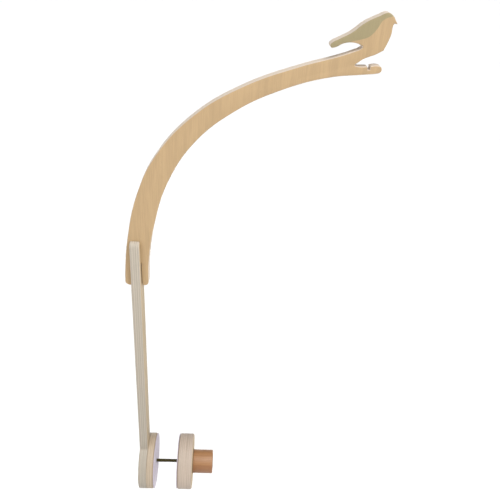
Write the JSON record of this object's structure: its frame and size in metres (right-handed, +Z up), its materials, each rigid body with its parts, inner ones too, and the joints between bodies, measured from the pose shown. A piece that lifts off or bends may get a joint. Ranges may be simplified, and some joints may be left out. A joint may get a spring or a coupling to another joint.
{
  "type": "crib mobile holder",
  "caption": "Wooden crib mobile holder: curved plywood arm with a perched bird tip, slotted onto a post with a round screw clamp for the rail.",
  "frame": {"origin": "grip point in the middle of the fixed jaw pad's face, below the clamp bolt", "axes": "+X from the fixed jaw to the moving jaw and along the arm's reach, +Y across the arm's thickness, +Z up the post"},
  "size_m": [0.2757, 0.08, 0.6929],
  "materials": {
    "birch_plywood": "satin clear varnish",
    "birch_plywood_pale": "sanded ply edge",
    "grey_pad": "matte felt",
    "blackened_steel": "dark oxide",
    "oiled_beech": "oiled",
    "brass": "plain"
  },
  "bodies": {
    "base": {"support_post": "birch_plywood_pale", "fixed_jaw_disc": "birch_plywood_pale", "fixed_jaw_pad": "grey_pad", "clamp_bolt": "blackened_steel"},
    "arm": {"curved_arm": "birch_plywood"},
    "moving_jaw": {"moving_jaw_pad": "grey_pad", "moving_jaw_inner_disc": "birch_plywood_pale", "moving_jaw_outer_disc": "birch_plywood_pale"},
    "knob": {"clamp_knob": "oiled_beech", "knob_insert": "brass"}
  },
  "joints": [
    {"name": "arm_lift", "type": "slide", "parent": "base", "child": "arm", "axis": [0, 0, 1], "range_m": [0, 0.07]},
    {"name": "jaw_slide", "type": "slide", "parent": "base", "child": "moving_jaw", "axis": [1, 0, 0], "range_m": [-0.018, 0.006]},
    {"name": "knob_turn", "type": "hinge", "parent": "moving_jaw", "child": "knob", "pos_m": [0.0558, 0, 0.02], "axis": [1, 0, 0], "range_deg": [-8100, 2700]}
  ],
  "couplings": [
    {"joint": "knob_turn", "follows": "jaw_slide", "rad_per_m": 7853.9}
  ]
}
